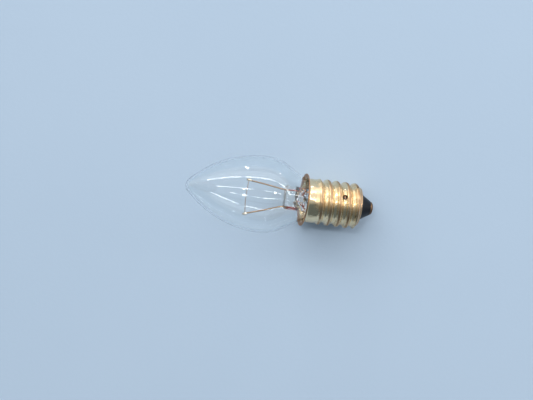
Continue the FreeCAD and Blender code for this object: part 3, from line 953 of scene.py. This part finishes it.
# %% Punch the hole for the side wire
hole_azimuth = 22
hole_turn = math.radians(hole_azimuth)
hole_height = first_crest + thread_pitch * (1.5 + hole_azimuth / 360)
hole_radius = 0.76
sliver_size = 0.03
hole_way = Vector((math.cos(hole_turn), math.sin(hole_turn), 0))
hole_centre = (hole_way * root_radius + Vector((0, 0, hole_height))) * MM
bpy.ops.mesh.primitive_cylinder_add(
    vertices=36,
    radius=hole_radius * MM,
    depth=3 * MM,
    location=hole_centre,
    rotation=(0, math.pi / 2, hole_turn),
)
cut_away(shell, bpy.context.object)
pick(shell, lambda co: (co - hole_centre).length < 1.5 * hole_radius * MM)
bpy.ops.mesh.remove_doubles(threshold=sliver_size * MM)
bpy.ops.object.mode_set(mode="OBJECT")
print("shell with its hole:", len(shell.data.polygons), "faces")

# %% [markdown]
# ## Used brass
# Brass is a metal, so its colour is in its reflection. New sheet is bright yellow. Handling browns it, most
# on the ridges where it rubs in a lamp holder, and a coppery stain gathers along them. Rolling leaves faint
# rings round the shell, which the height attribute draws. The flange's rim and the curled foot are coppery
# too, and small dark spots of tarnish finish it. The inner face is scorched at the flange, and deeper inside
# it is painted nearly black as painted shade. Both finishes change between heights along the lamp, in
# millimetres.

# %% Brass finish
rim_heights = (20.85, 21.1)
foot_heights = (4.7, 5.6)
shade_to_scorch_heights = (19.8, 21.0)
ridge_wear = 0.95


def brass_finish(name):
    brass, tree, shader, place = new_finish(name)
    cloud = spread(tree, noise_field(tree, place, 190.0, detail=5.0, roughness=0.6), 0.42, 0.72)
    bright = blend_colours(tree, cloud, (0.89, 0.72, 0.46), (0.68, 0.47, 0.24))
    rub = spread(tree, stored(tree, "ridge"), 0.82, 0.99)
    patchy = spread(tree, noise_field(tree, place, 420.0, detail=4.0), 0.25, 0.55, 0.45, 1.0)
    worn = calculate(tree, "MULTIPLY", rub, patchy)
    worn = calculate(tree, "MULTIPLY", worn, ridge_wear)
    coppery = blend_colours(tree, worn, bright, (0.36, 0.19, 0.09))
    along = stored(tree, "along")
    rim = spread(tree, along, *rim_heights)
    coppery = blend_colours(tree, rim, coppery, (0.40, 0.20, 0.09))
    foot = spread(tree, along, *foot_heights, 0.75, 0.0)
    coppery = blend_colours(tree, foot, coppery, (0.58, 0.35, 0.20))
    spots = spread(tree, noise_field(tree, place, 900.0, detail=2.0), 0.66, 0.74)
    spotted = blend_colours(tree, spots, coppery, (0.20, 0.11, 0.05))
    dull = calculate(tree, "MAXIMUM", cloud, calculate(tree, "MAXIMUM", worn, spots))
    feed(tree, shader, Metallic=1.0, Base_Color=spotted, Roughness=spread(tree, dull, 0, 1, 0.14, 0.46))
    rings = add_node(tree, "ShaderNodeTexNoise", {"noise_dimensions": "1D"}, W=along, Scale=9.0, Detail=3.0)
    pits = noise_field(tree, place, 2600.0, detail=2.0)
    relief = calculate(tree, "ADD", rings.outputs["Fac"], calculate(tree, "MULTIPLY", pits, 0.35))
    raise_bumps(tree, shader, relief, 0.00003, 0.6)
    return brass


def scorched_and_painted_shade_finish(name):
    """The sheet's inner face: dull, red-brown from heat at the flange, and painted shade nearly black deeper
    inside.
    """
    inside, tree, shader, place = new_finish(name)
    crust = spread(tree, noise_field(tree, place, 900.0, detail=5.0), 0.38, 0.64)
    scorched = blend_colours(tree, crust, (0.15, 0.065, 0.03), (0.07, 0.035, 0.02))
    outer_part = spread(tree, stored(tree, "along"), *shade_to_scorch_heights)
    # Below the flange the inner face is painted nearly black: painted shade deep inside the shell.
    colour = blend_colours(tree, outer_part, (0.018, 0.012, 0.009), scorched)
    bare = spread(tree, crust, 0, 1, 0.6, 0.2)
    feed(tree, shader, Base_Color=colour, Metallic=bare, Roughness=spread(tree, crust, 0, 1, 0.45, 0.8))
    raise_bumps(tree, shader, crust, 0.00005, 0.7)
    return inside


shell_brass = brass_finish("used_shell_brass")
shell_inside = scorched_and_painted_shade_finish("scorched_and_painted_shade_inside")
finish_piece(shell, (shell_brass, shell_inside), "cap_brass", "cap_shell", edge_angle=40)
print("faces inside the sheet:", sum(polygon.material_index for polygon in shell.data.polygons))

# %% [markdown]
# ## Solder at the side
# The side wire ends in the shell's hole under a drop of solder, a little sunken, so a dark ring shows round
# it. Solder sets as a soft lump. The bead starts as a ball of even triangles, squashed along the hole's
# axis, and noise makes its skin uneven.

# %% Solder finish and the side bead
def solder_finish():
    solder, tree, shader, place = new_finish("dull_solder")
    crust = spread(tree, noise_field(tree, place, 1500.0, detail=4.0), 0.4, 0.7)
    colour = blend_colours(tree, crust, (0.82, 0.80, 0.76), (0.42, 0.40, 0.37))
    feed(tree, shader, Metallic=1.0, Base_Color=colour, Roughness=spread(tree, crust, 0, 1, 0.16, 0.5))
    raise_bumps(tree, shader, noise_field(tree, place, 2400.0, detail=3.0), 0.00005, 0.6)
    return solder


dull_solder = solder_finish()
bead_radius = 0.25
bead_depth = 0.45
bpy.ops.mesh.primitive_ico_sphere_add(subdivisions=4, radius=bead_radius * MM, location=(0, 0, 0))
bead = named("side_bead")
bpy.ops.transform.resize(value=(1, 1, 0.7))
bpy.ops.object.transform_apply()
for vertex in bead.data.vertices:
    vertex.co *= 1 + 0.09 * noise.noise(vertex.co / MM * 2.3)
bead_place = hole_way * (root_radius - bead_depth) + Vector((0.06, -0.13, hole_height - 0.09))
bead.data.transform(stand_at(bead_place, hole_way))
finish_piece(bead, dull_solder, "solder", "side_solder", edge_angle=80)

# %% [markdown]
# ## The black glass insulator
# Below the shell, a cone of black glass carries the centre contact. It was pressed hot into the curled lip,
# so its edges are all rounded and its skin has a few slow waves. The outline is drawn with those rounds in
# it and spun.

# %% Spin the insulator
insulator_waist = 4.1
insulator_nose = 2.25
nose_height = insulator_low.z / MM
lip_top = shell_foot + shell_wall
insulator_top = insulator_high.z / MM
insulator_rim = insulator_high.y / MM
lip_play = 0.05
cone_side = [
    (0, nose_height),
    (insulator_nose - 0.15, nose_height),
    (insulator_nose - 0.04, nose_height + 0.05),
    (insulator_nose, nose_height + 0.16),
    *line_points((insulator_nose, nose_height + 0.16), (insulator_waist - 0.12, shell_foot - 0.5), 8),
    (insulator_waist, shell_foot - 0.22),
    (insulator_waist + 0.06, shell_foot),
    (lip_radius - lip_play, shell_foot + 0.02),
    (lip_radius - lip_play, lip_top),
    (insulator_rim - 0.1, lip_top + 0.01),
    (insulator_rim, lip_top + 0.12),
    (insulator_rim, insulator_top - 0.12),
    (insulator_rim - 0.12, insulator_top),
    (0, insulator_top),
]
insulator = turned("black_glass_cone", cone_side, steps=96)
for vertex in insulator.data.vertices:
    radius = axis_distance(vertex)
    if radius > 0.5 and vertex.co.z / MM < shell_foot - 0.1:
        move_outwards(vertex, 1 - 0.05 * max(0.0, noise.noise(vertex.co / MM * 0.8)) / radius)


def black_glass_finish():
    black, tree, shader, place = new_finish("black_pressed_glass")
    swirl = spread(tree, noise_field(tree, place, 300.0, detail=4.0), 0.35, 0.7)
    colour = blend_colours(tree, swirl, (0.003, 0.003, 0.005), (0.010, 0.010, 0.013))
    gloss = spread(tree, swirl, 0, 1, 0.28, 0.5)
    feed(tree, shader, Base_Color=colour, Roughness=gloss, Specular_IOR_Level=0.25)
    raise_bumps(tree, shader, noise_field(tree, place, 500.0, detail=3.0), 0.00006, 0.5)
    return black


finish_piece(insulator, black_glass_finish(), "black_glass", "cap_insulator", edge_angle=50)

# %% [markdown]
# ## The centre contact
# The contact is a small domed brass plate with a hole, and the centre wire is soldered into it. Heat and
# arcing in the holder have browned it. The plate is spun from its true section, domed outside and hollow
# behind, with its edge rounded.

# %% Spin the contact and its solder
contact_radius = contact_high.y / MM
contact_height = contact_high.z / MM
contact_flat = 1.0
contact_wall = 0.3
contact_hole = 0.45
dome_rise = contact_radius - contact_flat
dome_arc = (dome_rise**2 + contact_height**2) / (2 * contact_height)
dome_lean = math.degrees(math.atan2(dome_rise, dome_arc - contact_height))
dome_outline = [
    (contact_hole, 0.03),
    (contact_hole + 0.05, 0),
    *line_points((contact_hole + 0.05, 0), (contact_flat, 0), 3),
    *arc_points((contact_flat, dome_arc), dome_arc, -90, dome_lean - 90, 14)[1:],
    (contact_radius - 0.06, contact_height),
    *arc_points((contact_flat, dome_arc), dome_arc - contact_wall, dome_lean - 96, -90, 14),
    (contact_hole, contact_wall),
    (contact_hole, 0.03),
]
contact = turned("domed_contact", dome_outline, steps=72)
contact_brass = wire_finish("browned_contact_brass", (0.30, 0.18, 0.10), (0.12, 0.07, 0.045), 380.0, 0.3, 0.6)
finish_piece(contact, contact_brass, "contact_brass", "centre_contact", edge_angle=50)

solder_outline = [
    (0, 0),
    (0.2, 0.005),
    (0.36, 0.035),
    (0.43, 0.09),
    (contact_hole, 0.16),
    (contact_hole, 0.5),
    (0.38, 0.6),
    (0, 0.6),
]
plug = turned("centre_solder_plug", solder_outline, steps=40)
for vertex in plug.data.vertices:
    vertex.co.z += max(0.0, noise.noise(vertex.co / MM * 4.0)) * 0.05 * MM
finish_piece(plug, dull_solder, "solder", "centre_solder", edge_angle=70)

# %% [markdown]
# ## The cement
# A ring of baked cement holds the bulb in the shell. It shows only through the glass neck and in the thin
# gap at the flange, as a coarse matte mass. The ring is spun from an outline that follows the glass, noise
# roughens its top, and the finish is pale with darker grains.

# %% Spin the cement ring
cement_outer = cement_high.y / MM
cement_foot = cement_low.z / MM
cement_top = cement_high.z / MM
glass_play = 0.05


def beside_glass(height):
    """The cement's inner radius, just clear of the bulb's neck."""
    reach = neck_arc - glass_play
    return neck_radius + neck_arc - math.sqrt(reach**2 - (height - neck_top) ** 2)


glass_rows = 8
cement_step = (cement_foot - cement_top) / glass_rows
cement_side = [cement_top + cement_step * row for row in range(1, glass_rows + 1)]
cement_outline = [
    (beside_glass(cement_foot), cement_foot),
    *line_points((beside_glass(cement_foot), cement_foot), (cement_outer, cement_foot), 3),
    *line_points((cement_outer, cement_foot), (cement_outer, cement_top), 8),
    *line_points((cement_outer, cement_top), (beside_glass(cement_top), cement_top), 3),
    *[(beside_glass(height), height) for height in cement_side],
]
cement = turned("cement_ring", cement_outline, steps=120)
for vertex in cement.data.vertices:
    crumb = max(0.0, noise.noise(vertex.co / MM * 2.2)) * 0.12
    vertex.co.z -= crumb * MM * (1 if vertex.co.z / MM > cement_top - 0.1 else 0)


def cement_finish():
    paste, tree, shader, place = new_finish("baked_cement")
    grain = spread(tree, noise_field(tree, place, 1400.0, detail=5.0), 0.38, 0.66)
    colour = blend_colours(tree, grain, (0.60, 0.50, 0.36), (0.30, 0.22, 0.14))
    feed(tree, shader, Base_Color=colour, Roughness=0.9)
    raise_bumps(tree, shader, grain, 0.0001, 0.8)
    return paste


finish_piece(cement, cement_finish(), "cement", "basing_cement", edge_angle=60)
